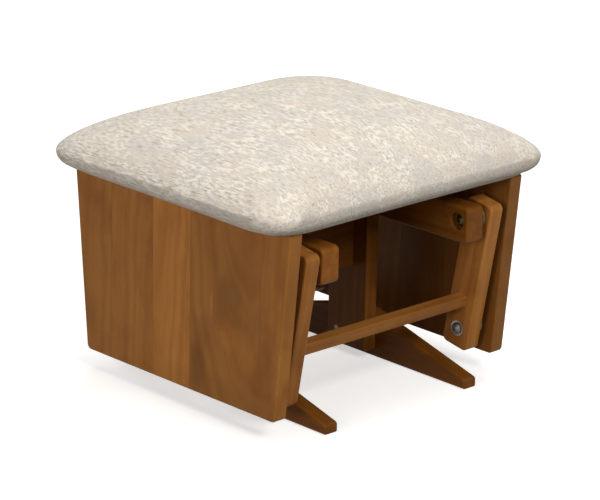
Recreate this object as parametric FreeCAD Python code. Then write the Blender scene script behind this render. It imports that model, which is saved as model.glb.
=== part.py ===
import FreeCAD, Part
import math
import os
from FreeCAD import Vector

# A glider ottoman: a cushioned platform between two side panels hangs on four
# swing arms from a wooden base, and glides forwards and back.
# X runs along the width, the front faces -Y, Z is up from the floor.
# The origin is on the floor, under the middle of the base. All lengths are in
# millimetres and all angles in degrees.

# Base: two floor runners, two uprights, two top rails and a cross board
UPRIGHT_THICKNESS = 22.0
UPRIGHT_WIDTH = 76.0
UPRIGHT_FLOOR_CLEARANCE = 12.0
RUNNER_THICKNESS = 24.4
RUNNER_LENGTH = 430.0
RUNNER_APEX_HEIGHT = 71.0
RUNNER_TIP_HEIGHT = 14.0
RUNNER_TIP_RADIUS = 5.0
RUNNER_APEX_RADIUS = 60.0
RUNNER_SOLE_RADIUS = 1.5
RUNNER_EDGE_RADIUS = 3.0
RAIL_THICKNESS = 32.0
RAIL_HEIGHT = 52.0
RAIL_LENGTH = 422.0
RAIL_TOP_HEIGHT = 263.0
RAIL_CORNER_RADIUS = 8.0
RAIL_EDGE_RADIUS = 4.0
CROSS_BOARD_THICKNESS = 22.0
CROSS_BOARD_HEIGHT = 128.0
BOARD_CORNER_RADIUS = 2.0
BOARD_EDGE_RADIUS = 1.5

# Pivots: the lower ones stand closer together, so the arms lean inwards
UPPER_PIVOT_SPREAD = 381.0
UPPER_PIVOT_DROP = 22.0
LOWER_PIVOT_SPREAD = 318.0
LOWER_PIVOT_HEIGHT = 67.0

# Swing arms and their tie bars
ARM_WIDTH = 48.0
ARM_THICKNESS = 24.4
ARM_TOP_OVERHANG = 22.0
ARM_BOTTOM_OVERHANG = 28.0
ARM_CORNER_RADIUS = 9.0
ARM_EDGE_RADIUS = 3.0
ARM_SIDE_PLAY = 0.3
RAIL_TO_BEARING = 8.0
BEARING_TO_PANEL = 11.0
TIE_BAR_SIZE = 17.0
TIE_BAR_RISE = 46.0
TIE_BAR_EDGE_RADIUS = 2.0

# Sealed bearings, one in each face of an arm at each pivot
BEARING_DIAMETER = 22.0
BEARING_WIDTH = 7.0
INNER_RING_DIAMETER = 12.0
RING_GAP = 0.1
OPEN_PIVOT_GAP = 1.9
ARM_BORE_DIAMETER = 16.0
RING_SPACER_DIAMETER = 11.0

# Pivot bolts, nuts and washers
BOLT_DIAMETER = 8.0
BOLT_HEAD_DIAMETER = 17.0
BOLT_HEAD_HEIGHT = 4.5
SOCKET_ACROSS_FLATS = 5.0
SOCKET_DEPTH = 2.5
BOLT_END_PROJECTION = 1.5
RECESS_DIAMETER = 25.0
RECESS_DEPTH = 9.0
WASHER_DIAMETER = 16.0
WASHER_THICKNESS = 1.5
NUT_ACROSS_FLATS = 13.0
NUT_HEIGHT = 6.5
HUB_DIAMETER = 16.0
NYLON_WASHER_DIAMETER = 30.0
NYLON_WASHER_THICKNESS = 2.5
INSERT_DIAMETER = 12.0
INSERT_LENGTH = 14.0

# Platform: side panels, seat frame and seat board
PLATFORM_WIDTH = 440.0
PANEL_THICKNESS = 22.0
PANEL_BOTTOM_DEPTH = 388.0
PANEL_TAPER_ANGLE = 5.4
PANEL_FLOOR_CLEARANCE = 29.0
PANEL_CORNER_RADIUS = 8.0
PANEL_EDGE_RADIUS = 2.5
SEAT_ABOVE_RAILS = 35.0
SEAT_BOARD_THICKNESS = 12.0
CLEAT_SIZE = 22.0
CLEAT_LENGTH = 210.0
BATTEN_WIDTH = 24.0
BATTEN_HEIGHT = 20.0
BATTEN_SPREAD = 180.0

# Cushion: a foam pad and a cover pulled over its edge and under the board
CUSHION_SIDE_OVERHANG = 41.2
CUSHION_END_OVERHANG = 18.6
CUSHION_THICKNESS = 98.0
CUSHION_CORNER_RADIUS = 44.0
CUSHION_UNDERSIDE_ROLL = 32.0
CUSHION_ROLL_HEIGHT = 23.0
CROWN_SIDE_POWER = 2.4
CROWN_TOP_POWER = 1.4
CROWN_CORNER_SOFTENING = 0.7
COVER_THICKNESS = 1.5
COVER_MARGIN = 26.0
PAD_OVER_BOARD_EDGE = 1.5

# Wood screws
SCREW_DIAMETER = 4.0
SCREW_HEAD_DIAMETER = 8.0
SCREW_TIP_LENGTH = 4.0
RUNNER_SCREW_LENGTH = 38.0
RUNNER_SCREW_SPREAD = 40.0
RUNNER_SCREW_HEIGHT = 34.0
RAIL_SCREW_LENGTH = 46.0
RAIL_SCREW_SPREAD = 50.0
CROSS_SCREW_LENGTH = 50.0
CROSS_SCREW_DROPS = (18.0, 52.0)
TIE_SCREW_LENGTH = 50.0
CLEAT_SCREW_LENGTH = 36.0
CLEAT_SCREW_SPREAD = 150.0
SEAT_SCREW_BITE = 8.0
SEAT_SCREW_SPREAD = 90.0
BATTEN_SCREW_SPREAD = 200.0

# Clearances: between fitted pieces, and round soft ones
FIT_GAP = 0.05
SOFT_GAP = 0.3

# Places that follow from the sizes
panel_outer_x = PLATFORM_WIDTH / 2
panel_inner_x = panel_outer_x - PANEL_THICKNESS
bearing_outer_x = panel_inner_x - BEARING_TO_PANEL
arm_outer_x = bearing_outer_x - ARM_SIDE_PLAY
arm_inner_x = arm_outer_x - ARM_THICKNESS
bearing_inner_x = arm_inner_x - ARM_SIDE_PLAY
rail_outer_x = bearing_inner_x - RAIL_TO_BEARING
upright_outer_x = rail_outer_x - RAIL_THICKNESS
upright_inner_x = upright_outer_x - UPRIGHT_THICKNESS
cleat_inner_x = panel_inner_x - CLEAT_SIZE
rail_bottom_z = RAIL_TOP_HEIGHT - RAIL_HEIGHT
cross_board_bottom_z = RAIL_TOP_HEIGHT - CROSS_BOARD_HEIGHT
upper_pivot_y = UPPER_PIVOT_SPREAD / 2
upper_pivot_z = RAIL_TOP_HEIGHT - UPPER_PIVOT_DROP
lower_pivot_y = LOWER_PIVOT_SPREAD / 2
arm_length = math.hypot(upper_pivot_y - lower_pivot_y, upper_pivot_z - LOWER_PIVOT_HEIGHT)
seat_board_underside_z = RAIL_TOP_HEIGHT + SEAT_ABOVE_RAILS
cushion_underside_z = seat_board_underside_z - COVER_THICKNESS
cushion_widest_z = cushion_underside_z + CUSHION_ROLL_HEIGHT
cushion_top_z = cushion_underside_z + CUSHION_THICKNESS
panel_taper = math.tan(math.radians(PANEL_TAPER_ANGLE))
panel_top_depth = PANEL_BOTTOM_DEPTH + 2 * panel_taper * (cushion_underside_z - PANEL_FLOOR_CLEARANCE)
cushion_width = PLATFORM_WIDTH + 2 * CUSHION_SIDE_OVERHANG
cushion_depth = panel_top_depth + 2 * CUSHION_END_OVERHANG
board_inset = CUSHION_UNDERSIDE_ROLL + COVER_THICKNESS + PAD_OVER_BOARD_EDGE
board_half_width = cushion_width / 2 - board_inset
board_half_depth = cushion_depth / 2 - board_inset
board_corner_radius = max(CUSHION_CORNER_RADIUS - board_inset / 2, BOARD_CORNER_RADIUS)

ALONG_X = Vector(1, 0, 0)
ALONG_Z = Vector(0, 0, 1)


def mirrored(shape, normal):
    """Return the shape's mirror image in the plane through the origin."""
    return shape.mirror(Vector(0, 0, 0), normal)


def left_of(shape):
    """Return the left-hand twin of a right-hand piece."""
    return mirrored(shape, ALONG_X)


def rear_of(shape):
    """Return the rear twin of a front piece."""
    return mirrored(shape, Vector(0, 1, 0))


def both_sides(solids):
    """Return the given right-hand solids and their left-hand twins as a group."""
    return Part.makeCompound(solids + [left_of(solid) for solid in solids])


def rounded_outline(corners, radii):
    """Return a closed wire through the corners, each rounded by its radius."""
    edges = []
    count = len(corners)
    starts = []
    ends = []
    for index, corner in enumerate(corners):
        before = (corners[index - 1] - corner).normalize()
        after = (corners[(index + 1) % count] - corner).normalize()
        half_angle = before.getAngle(after) / 2
        setback = radii[index] / math.tan(half_angle)
        bisector = (before + after).normalize()
        to_arc = radii[index] / math.sin(half_angle) - radii[index]
        starts.append(corner + before * setback)
        ends.append(corner + after * setback)
        if radii[index] > 0:
            middle = corner + bisector * to_arc
            edges.append(Part.Arc(starts[-1], middle, ends[-1]).toShape())
    for index in range(count):
        start = ends[index]
        end = starts[(index + 1) % count]
        if start.distanceToPoint(end) > FIT_GAP:
            edges.append(Part.makeLine(start, end))
    return Part.Wire(Part.__sortEdges__(edges))


def plate(corners, radii, inner_x, outer_x, edge_radius):
    """Return a board cut to a rounded outline in Y and Z, its edges eased."""
    points = [Vector(inner_x, y, z) for y, z in corners]
    face = Part.Face(rounded_outline(points, radii))
    board = face.extrude(Vector(outer_x - inner_x, 0, 0))
    if edge_radius <= 0:
        return board
    rims = [edge for edge in board.Edges if edge.BoundBox.XLength < FIT_GAP]
    return board.makeFillet(edge_radius, rims)


def rectangle(front_y, rear_y, bottom_z, top_z):
    """Return the four corners of an upright rectangle in Y and Z."""
    return [(front_y, bottom_z), (rear_y, bottom_z), (rear_y, top_z), (front_y, top_z)]


def rod(radius, start_x, end_x, y, z):
    """Return a round bar along X."""
    return Part.makeCylinder(radius, end_x - start_x, Vector(start_x, y, z), ALONG_X)


def ring(outer_radius, inner_radius, start_x, end_x, y, z):
    """Return a round tube along X."""
    return rod(outer_radius, start_x, end_x, y, z).cut(rod(inner_radius, start_x, end_x, y, z))


def hexagon_bar(across_flats, start_x, end_x, y, z):
    """Return a hexagonal bar along X."""
    corner_radius = across_flats / math.sqrt(3)
    angles = [math.radians(60 * step) for step in range(7)]
    points = [Vector(start_x, y + corner_radius * math.cos(a), z + corner_radius * math.sin(a)) for a in angles]
    return Part.Face(Part.makePolygon(points)).extrude(Vector(end_x - start_x, 0, 0))


def screw(head_centre, direction, length, gap=0.0):
    """Return a countersunk wood screw, or with a gap the hole that it sits in."""
    shank = SCREW_DIAMETER / 2 + gap
    head = SCREW_HEAD_DIAMETER / 2 + gap
    head_height = head - shank
    straight = length - SCREW_TIP_LENGTH + gap
    cone = Part.makeCone(head, shank, head_height, head_centre, direction)
    body = Part.makeCylinder(shank, straight, head_centre, direction)
    tip = Part.makeCone(shank, shank / 4, SCREW_TIP_LENGTH, head_centre + direction * straight, direction)
    return body.fuse([cone, tip]).removeSplitter()


def drilled(board, screws, length):
    """Return the board with a snug hole for each screw, given as place and direction."""
    return board.cut([screw(place, direction, length, FIT_GAP) for place, direction in screws])


def driven(screws, length):
    """Return the screws themselves, given as place and direction."""
    return [screw(place, direction, length) for place, direction in screws]


def arm_point(along, across):
    """Return Y and Z of a point of the front arm, measured from its lower pivot."""
    unit_y = (lower_pivot_y - upper_pivot_y) / arm_length
    unit_z = (upper_pivot_z - LOWER_PIVOT_HEIGHT) / arm_length
    y = -lower_pivot_y + unit_y * along + unit_z * across
    z = LOWER_PIVOT_HEIGHT + unit_z * along - unit_y * across
    return y, z


def arm_rectangle(bottom, top, width):
    """Return the corners of a rectangle that leans as the front arm does."""
    half = width / 2
    return [arm_point(bottom, -half), arm_point(bottom, half), arm_point(top, half), arm_point(top, -half)]


def floor_runner():
    """Return the right runner: a low wedge, thick in the middle, thin at both tips."""
    half = RUNNER_LENGTH / 2
    corners = [(-half, 0), (half, 0), (half, RUNNER_TIP_HEIGHT), (0, RUNNER_APEX_HEIGHT), (-half, RUNNER_TIP_HEIGHT)]
    radii = [RUNNER_SOLE_RADIUS, RUNNER_SOLE_RADIUS, RUNNER_TIP_RADIUS, RUNNER_APEX_RADIUS, RUNNER_TIP_RADIUS]
    points = [Vector(upright_outer_x, y, z) for y, z in corners]
    wedge = Part.Face(rounded_outline(points, radii)).extrude(Vector(RUNNER_THICKNESS, 0, 0))
    rims = [edge for edge in wedge.Edges
            if edge.BoundBox.XLength < FIT_GAP and edge.BoundBox.ZMin > RUNNER_SOLE_RADIUS - FIT_GAP]
    wedge = wedge.makeFillet(RUNNER_EDGE_RADIUS, rims)
    return drilled(wedge, runner_screw_places(), RUNNER_SCREW_LENGTH)


def upright_board():
    """Return the right upright, which carries the runner and the top rail outside."""
    half = UPRIGHT_WIDTH / 2
    corners = rectangle(-half, half, UPRIGHT_FLOOR_CLEARANCE, RAIL_TOP_HEIGHT)
    board = plate(corners, [BOARD_CORNER_RADIUS] * 4, upright_inner_x, upright_outer_x, BOARD_EDGE_RADIUS)
    board = drilled(board, runner_screw_places(), RUNNER_SCREW_LENGTH)
    board = drilled(board, rail_screw_places(), RAIL_SCREW_LENGTH)
    return drilled(board, cross_screw_places(), CROSS_SCREW_LENGTH)


def top_rail():
    """Return the right top rail with a recessed bolt hole near each end."""
    half = RAIL_LENGTH / 2
    corners = rectangle(-half, half, rail_bottom_z, RAIL_TOP_HEIGHT)
    rail = plate(corners, [RAIL_CORNER_RADIUS] * 4, upright_outer_x, rail_outer_x, RAIL_EDGE_RADIUS)
    for y in (-upper_pivot_y, upper_pivot_y):
        recess = rod(RECESS_DIAMETER / 2, upright_outer_x, upright_outer_x + RECESS_DEPTH, y, upper_pivot_z)
        hole = rod(BOLT_DIAMETER / 2 + FIT_GAP, upright_outer_x, rail_outer_x, y, upper_pivot_z)
        rail = rail.cut([recess, hole])
    return drilled(rail, rail_screw_places(), RAIL_SCREW_LENGTH)


def cross_board():
    """Return the board that joins the two uprights."""
    half = CROSS_BOARD_THICKNESS / 2
    corners = rectangle(-half, half, cross_board_bottom_z, RAIL_TOP_HEIGHT)
    board = plate(corners, [BOARD_CORNER_RADIUS] * 4, -upright_inner_x, upright_inner_x, 0)
    places = cross_screw_places()
    board = drilled(board, places, CROSS_SCREW_LENGTH)
    return left_of(drilled(left_of(board), places, CROSS_SCREW_LENGTH))


def runner_screw_places():
    """Return the right-hand screws that go through the upright into the runner."""
    rows = (-RUNNER_SCREW_SPREAD / 2, RUNNER_SCREW_SPREAD / 2)
    return [(Vector(upright_inner_x, y, RUNNER_SCREW_HEIGHT), ALONG_X) for y in rows]


def rail_screw_places():
    """Return the right-hand screws that go through the upright into the top rail."""
    z = RAIL_TOP_HEIGHT - RAIL_HEIGHT / 2
    return [(Vector(upright_inner_x, y, z), ALONG_X) for y in (-RAIL_SCREW_SPREAD / 2, RAIL_SCREW_SPREAD / 2)]


def cross_screw_places():
    """Return the right-hand screws that go through the upright into the cross board."""
    return [(Vector(upright_outer_x, 0, rail_bottom_z - drop), -ALONG_X) for drop in CROSS_SCREW_DROPS]


def swing_arm():
    """Return the front right arm, with a bearing seat in each face at both pivots."""
    corners = arm_rectangle(-ARM_BOTTOM_OVERHANG, arm_length + ARM_TOP_OVERHANG, ARM_WIDTH)
    arm = plate(corners, [ARM_CORNER_RADIUS] * 4, arm_inner_x, arm_outer_x, ARM_EDGE_RADIUS)
    seat = BEARING_DIAMETER / 2 + FIT_GAP
    for y, z in (arm_point(0, 0), arm_point(arm_length, 0)):
        bore = rod(ARM_BORE_DIAMETER / 2, arm_inner_x, arm_outer_x, y, z)
        inner_seat = rod(seat, arm_inner_x, arm_inner_x + BEARING_WIDTH, y, z)
        outer_seat = rod(seat, arm_outer_x - BEARING_WIDTH, arm_outer_x, y, z)
        arm = arm.cut([bore, inner_seat, outer_seat])
    return drilled(arm, tie_screw_places(), TIE_SCREW_LENGTH)


def tie_bar():
    """Return the front bar, which joins the two front arms above their lower pivots."""
    corners = arm_rectangle(TIE_BAR_RISE - TIE_BAR_SIZE / 2, TIE_BAR_RISE + TIE_BAR_SIZE / 2, TIE_BAR_SIZE)
    bar = plate(corners, [TIE_BAR_EDGE_RADIUS] * 4, -arm_inner_x, arm_inner_x, 0)
    places = tie_screw_places()
    bar = drilled(bar, places, TIE_SCREW_LENGTH)
    return left_of(drilled(left_of(bar), places, TIE_SCREW_LENGTH))


def tie_screw_places():
    """Return the right-hand screw that goes through the front arm into its tie bar."""
    y, z = arm_point(TIE_BAR_RISE, 0)
    return [(Vector(arm_outer_x, y, z), -ALONG_X)]


def bearing_rings(y, z, gap):
    """Return the two outer bearing rings of one right-hand pivot."""
    outer = BEARING_DIAMETER / 2
    inner = INNER_RING_DIAMETER / 2 + gap
    return [ring(outer, inner, arm_inner_x, arm_inner_x + BEARING_WIDTH, y, z),
            ring(outer, inner, arm_outer_x - BEARING_WIDTH, arm_outer_x, y, z)]


def inner_rings(y, z):
    """Return the two inner bearing rings of one right-hand pivot."""
    outer = INNER_RING_DIAMETER / 2
    bore = BOLT_DIAMETER / 2 + FIT_GAP
    return [ring(outer, bore, bearing_inner_x, bearing_inner_x + BEARING_WIDTH, y, z),
            ring(outer, bore, bearing_outer_x - BEARING_WIDTH, bearing_outer_x, y, z)]


def ring_spacer(y, z):
    """Return the tube that keeps the two inner rings of a pivot apart."""
    start = bearing_inner_x + BEARING_WIDTH
    end = bearing_outer_x - BEARING_WIDTH
    return ring(RING_SPACER_DIAMETER / 2, BOLT_DIAMETER / 2 + FIT_GAP, start, end, y, z)


def hub(start_x, end_x, y, z):
    """Return the steel sleeve that holds an arm off the wood beside it."""
    return ring(HUB_DIAMETER / 2, BOLT_DIAMETER / 2 + FIT_GAP, start_x, end_x, y, z)


def nylon_washer(start_x, y, z):
    """Return the broad washer round a hub."""
    end_x = start_x + NYLON_WASHER_THICKNESS
    return ring(NYLON_WASHER_DIAMETER / 2, HUB_DIAMETER / 2 + FIT_GAP, start_x, end_x, y, z)


def flat_washer(start_x, y, z):
    """Return a plain steel washer on a bolt."""
    return ring(WASHER_DIAMETER / 2, BOLT_DIAMETER / 2 + FIT_GAP, start_x, start_x + WASHER_THICKNESS, y, z)


def pivot_bolt(head_x, end_x, y, z):
    """Return a bolt with a low domed head and a hexagon socket, its head seated at head_x."""
    dome_top = head_x - BOLT_HEAD_HEIGHT
    radius = BOLT_HEAD_DIAMETER / 2
    dome_radius = (radius ** 2 + BOLT_HEAD_HEIGHT ** 2) / (2 * BOLT_HEAD_HEIGHT)
    ball = Part.makeSphere(dome_radius, Vector(dome_top + dome_radius, y, z))
    head = rod(radius, dome_top, head_x, y, z).common(ball)
    shank = rod(BOLT_DIAMETER / 2, head_x, end_x, y, z)
    socket = hexagon_bar(SOCKET_ACROSS_FLATS, dome_top, dome_top + SOCKET_DEPTH, y, z)
    return head.fuse(shank).cut(socket)


def lock_nut(start_x, y, z):
    """Return a hexagon nut on a pivot bolt."""
    nut = hexagon_bar(NUT_ACROSS_FLATS, start_x, start_x + NUT_HEIGHT, y, z)
    return nut.cut(rod(BOLT_DIAMETER / 2 + FIT_GAP, start_x, start_x + NUT_HEIGHT, y, z))


def panel_half_depth(z):
    """Return half the side panel's depth at a height; the panel widens upwards."""
    return PANEL_BOTTOM_DEPTH / 2 + panel_taper * (z - PANEL_FLOOR_CLEARANCE)


def side_panel():
    """Return the right side panel, with blind seats for the pivot bolts' inserts."""
    low = panel_half_depth(PANEL_FLOOR_CLEARANCE)
    high = panel_half_depth(cushion_underside_z)
    corners = [(-low, PANEL_FLOOR_CLEARANCE), (low, PANEL_FLOOR_CLEARANCE),
               (high, cushion_underside_z), (-high, cushion_underside_z)]
    radii = [PANEL_CORNER_RADIUS, PANEL_CORNER_RADIUS, BOARD_CORNER_RADIUS, BOARD_CORNER_RADIUS]
    points = [Vector(panel_inner_x, y, z) for y, z in corners]
    panel = Part.Face(rounded_outline(points, radii)).extrude(Vector(PANEL_THICKNESS, 0, 0))
    rims = [edge for edge in panel.Edges
            if edge.BoundBox.XLength < FIT_GAP and edge.BoundBox.ZMax < cushion_underside_z - BOARD_CORNER_RADIUS / 2]
    panel = panel.makeFillet(PANEL_EDGE_RADIUS, rims)
    for y in (-lower_pivot_y, lower_pivot_y):
        seat = rod(INSERT_DIAMETER / 2 + FIT_GAP, panel_inner_x, panel_inner_x + INSERT_LENGTH, y, LOWER_PIVOT_HEIGHT)
        panel = panel.cut(seat)
    return drilled(panel, cleat_screw_places(), CLEAT_SCREW_LENGTH)


def threaded_insert(y, z):
    """Return the metal sleeve that takes a pivot bolt in the side panel."""
    end_x = panel_inner_x + INSERT_LENGTH
    return ring(INSERT_DIAMETER / 2, BOLT_DIAMETER / 2 + FIT_GAP, panel_inner_x, end_x, y, z)


def cleat_screw_places():
    """Return the right-hand screws that go through the cleat into the side panel."""
    z = seat_board_underside_z - CLEAT_SIZE / 2
    return [(Vector(cleat_inner_x, y, z), ALONG_X) for y in (-CLEAT_SCREW_SPREAD / 2, 0, CLEAT_SCREW_SPREAD / 2)]


def cleat_seat_screw_places():
    """Return the right-hand screws that go up through the cleat into the seat board."""
    x = (cleat_inner_x + panel_inner_x) / 2
    z = seat_board_underside_z - CLEAT_SIZE
    return [(Vector(x, y, z), ALONG_Z) for y in (-SEAT_SCREW_SPREAD / 2, SEAT_SCREW_SPREAD / 2)]


def batten_screw_places():
    """Return the right-hand screws that go up through both battens into the seat board."""
    z = seat_board_underside_z - BATTEN_HEIGHT
    return [(Vector(BATTEN_SCREW_SPREAD / 2, y, z), ALONG_Z) for y in (-BATTEN_SPREAD / 2, BATTEN_SPREAD / 2)]


def cleat():
    """Return the right cleat, which joins the side panel to the seat board."""
    corners = rectangle(-CLEAT_LENGTH / 2, CLEAT_LENGTH / 2, seat_board_underside_z - CLEAT_SIZE, seat_board_underside_z)
    board = plate(corners, [BOARD_CORNER_RADIUS] * 4, cleat_inner_x, panel_inner_x, BOARD_EDGE_RADIUS)
    board = drilled(board, cleat_screw_places(), CLEAT_SCREW_LENGTH)
    return drilled(board, cleat_seat_screw_places(), CLEAT_SIZE + SEAT_SCREW_BITE)


def batten():
    """Return the front batten, which runs from cleat to cleat under the seat board."""
    middle = -BATTEN_SPREAD / 2
    corners = rectangle(middle - BATTEN_WIDTH / 2, middle + BATTEN_WIDTH / 2,
                        seat_board_underside_z - BATTEN_HEIGHT, seat_board_underside_z)
    board = plate(corners, [BOARD_CORNER_RADIUS] * 4, -cleat_inner_x, cleat_inner_x, 0)
    board = drilled(board, batten_screw_places(), BATTEN_HEIGHT + SEAT_SCREW_BITE)
    return left_of(drilled(left_of(board), batten_screw_places(), BATTEN_HEIGHT + SEAT_SCREW_BITE))


def plan_outline(half_width, half_depth, corner_radius, z):
    """Return a level rounded rectangle round the Z axis."""
    corners = [Vector(-half_width, -half_depth, z), Vector(half_width, -half_depth, z),
               Vector(half_width, half_depth, z), Vector(-half_width, half_depth, z)]
    return rounded_outline(corners, [corner_radius] * 4)


def seat_board():
    """Return the plywood board under the pad, with its screw holes."""
    outline = plan_outline(board_half_width, board_half_depth, board_corner_radius, seat_board_underside_z)
    board = Part.Face(outline).extrude(Vector(0, 0, SEAT_BOARD_THICKNESS))
    for places, length in ((cleat_seat_screw_places(), CLEAT_SIZE + SEAT_SCREW_BITE),
                           (batten_screw_places(), BATTEN_HEIGHT + SEAT_SCREW_BITE)):
        board = drilled(board, places, length)
        board = left_of(drilled(left_of(board), places, length))
    return board


def cushion_form(skin):
    """Return the crowned cushion, made smaller all round by a skin thickness."""
    half_width = cushion_width / 2 - skin
    half_depth = cushion_depth / 2 - skin
    radius = CUSHION_CORNER_RADIUS - skin
    underside = cushion_underside_z + skin
    top = cushion_top_z - skin
    sections = []
    for angle in (90, 60, 35, 15):
        inset = CUSHION_UNDERSIDE_ROLL * (1 - math.cos(math.radians(angle)))
        z = cushion_widest_z - (cushion_widest_z - underside) * math.sin(math.radians(angle))
        sections.append(plan_outline(half_width - inset, half_depth - inset, radius - inset / 2, z))
    for scale in (1.0, 0.985, 0.95, 0.89, 0.8, 0.69, 0.56, 0.42, 0.28, 0.14):
        rise = (1 - scale ** CROWN_SIDE_POWER) ** (1 / CROWN_TOP_POWER)
        z = cushion_widest_z + (top - cushion_widest_z) * rise
        rounding = radius * scale + (1 - scale) * half_depth * CROWN_CORNER_SOFTENING
        rounding = min(rounding, half_depth * scale - COVER_THICKNESS)
        sections.append(plan_outline(half_width * scale, half_depth * scale, rounding, z))
    return Part.makeLoft(sections, True, True)


def cushion_cover():
    """Return the cover: one skin over the pad, turned under the board as a margin."""
    opening = plan_outline(panel_inner_x + FIT_GAP, board_half_depth - COVER_MARGIN,
                           BOARD_CORNER_RADIUS, cushion_underside_z - COVER_THICKNESS)
    cut_out = Part.Face(opening).extrude(Vector(0, 0, 3 * COVER_THICKNESS))
    return cushion_form(0).cut(cushion_form(COVER_THICKNESS)).cut(cut_out)


def foam_pad():
    """Return the pad, which also wraps the seat board's edge."""
    outline = plan_outline(board_half_width + SOFT_GAP, board_half_depth + SOFT_GAP,
                           board_corner_radius, seat_board_underside_z - SOFT_GAP)
    board_space = Part.Face(outline).extrude(Vector(0, 0, SEAT_BOARD_THICKNESS + 2 * SOFT_GAP))
    return cushion_form(COVER_THICKNESS + SOFT_GAP).cut(board_space)


def base_nodes():
    """Return the wooden base and the hardware that is fixed to it, by name."""
    z = upper_pivot_z
    rows = (-upper_pivot_y, upper_pivot_y)
    runner = floor_runner()
    upright = upright_board()
    rail = top_rail()
    head_seat_x = upright_outer_x + RECESS_DEPTH - WASHER_THICKNESS
    nut_x = bearing_outer_x + WASHER_THICKNESS
    end_x = nut_x + NUT_HEIGHT + BOLT_END_PROJECTION
    hub_sleeves = [hub(rail_outer_x, bearing_inner_x, y, z) for y in rows]
    washer_x = arm_inner_x - 2 * ARM_SIDE_PLAY - NYLON_WASHER_THICKNESS
    rings = [piece for y in rows for piece in inner_rings(y, z)]
    washers = [flat_washer(x, y, z) for y in rows for x in (head_seat_x, bearing_outer_x)]
    return {
        "right_runner": runner,
        "left_runner": left_of(runner),
        "right_upright": upright,
        "left_upright": left_of(upright),
        "right_top_rail": rail,
        "left_top_rail": left_of(rail),
        "cross_board": cross_board(),
        "runner_screws": both_sides(driven(runner_screw_places(), RUNNER_SCREW_LENGTH)),
        "rail_screws": both_sides(driven(rail_screw_places(), RAIL_SCREW_LENGTH)),
        "cross_board_screws": both_sides(driven(cross_screw_places(), CROSS_SCREW_LENGTH)),
        "upper_pivot_bolts": both_sides([pivot_bolt(head_seat_x, end_x, y, z) for y in rows]),
        "upper_bolt_washers": both_sides(washers),
        "upper_lock_nuts": both_sides([lock_nut(nut_x, y, z) for y in rows]),
        "upper_hub_sleeves": both_sides(hub_sleeves),
        "upper_nylon_washers": both_sides([nylon_washer(washer_x, y, z) for y in rows]),
        "upper_inner_rings": both_sides(rings),
        "upper_ring_spacers": both_sides([ring_spacer(y, z) for y in rows]),
    }


def arm_nodes():
    """Return the front and the rear pair of arms with their tie bars and bearings, by name."""
    lower = (-lower_pivot_y, LOWER_PIVOT_HEIGHT)
    upper = (-upper_pivot_y, upper_pivot_z)
    arm = swing_arm()
    bar = tie_bar()
    screws = both_sides(driven(tie_screw_places(), TIE_SCREW_LENGTH))
    front_rings = bearing_rings(*lower, RING_GAP) + bearing_rings(*upper, RING_GAP)
    rear_rings = bearing_rings(*lower, OPEN_PIVOT_GAP) + bearing_rings(*upper, RING_GAP)
    return {
        "front_right_arm": arm,
        "front_left_arm": left_of(arm),
        "front_tie_bar": bar,
        "front_tie_screws": screws,
        "front_bearing_rings": both_sides(front_rings),
        "rear_right_arm": rear_of(arm),
        "rear_left_arm": rear_of(left_of(arm)),
        "rear_tie_bar": rear_of(bar),
        "rear_tie_screws": rear_of(screws),
        "rear_bearing_rings": rear_of(both_sides(rear_rings)),
    }


def platform_nodes():
    """Return the cushioned platform and the hardware that is fixed to it, by name."""
    z = LOWER_PIVOT_HEIGHT
    rows = (-lower_pivot_y, lower_pivot_y)
    panel = side_panel()
    side_cleat = cleat()
    front_batten = batten()
    head_seat_x = bearing_inner_x - WASHER_THICKNESS
    end_x = panel_inner_x + INSERT_LENGTH - BOLT_END_PROJECTION
    rings = [piece for y in rows for piece in inner_rings(y, z)]
    seat_screws = driven(cleat_seat_screw_places(), CLEAT_SIZE + SEAT_SCREW_BITE)
    seat_screws += driven(batten_screw_places(), BATTEN_HEIGHT + SEAT_SCREW_BITE)
    return {
        "right_side_panel": panel,
        "left_side_panel": left_of(panel),
        "right_cleat": side_cleat,
        "left_cleat": left_of(side_cleat),
        "front_seat_batten": front_batten,
        "rear_seat_batten": rear_of(front_batten),
        "seat_board": seat_board(),
        "foam_pad": foam_pad(),
        "cushion_cover": cushion_cover(),
        "cleat_screws": both_sides(driven(cleat_screw_places(), CLEAT_SCREW_LENGTH)),
        "seat_board_screws": both_sides(seat_screws),
        "lower_pivot_bolts": both_sides([pivot_bolt(head_seat_x, end_x, y, z) for y in rows]),
        "lower_bolt_washers": both_sides([flat_washer(head_seat_x, y, z) for y in rows]),
        "lower_hub_sleeves": both_sides([hub(bearing_outer_x, panel_inner_x, y, z) for y in rows]),
        "lower_nylon_washers": both_sides([nylon_washer(panel_inner_x - NYLON_WASHER_THICKNESS, y, z) for y in rows]),
        "lower_inner_rings": both_sides(rings),
        "lower_ring_spacers": both_sides([ring_spacer(y, z) for y in rows]),
        "panel_inserts": both_sides([threaded_insert(y, z) for y in rows]),
    }


def main():
    """Build every piece and write one file for each."""
    os.makedirs("parts", exist_ok=True)
    nodes = {**base_nodes(), **arm_nodes(), **platform_nodes()}
    for name, shape in nodes.items():
        if not shape.isValid():
            raise ValueError(name + " is not a valid shape")
        shape.exportStep("parts/" + name + ".step")
        print(f"{name}: {len(shape.Solids)} solids, {shape.Volume:.0f} mm3")


main()
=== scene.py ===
"""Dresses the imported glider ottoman: a padded platform that hangs on four swing arms."""

import logging
import math
from dataclasses import dataclass, field
from enum import Enum

import bmesh
import bpy
from mathutils import Matrix, Vector


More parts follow.
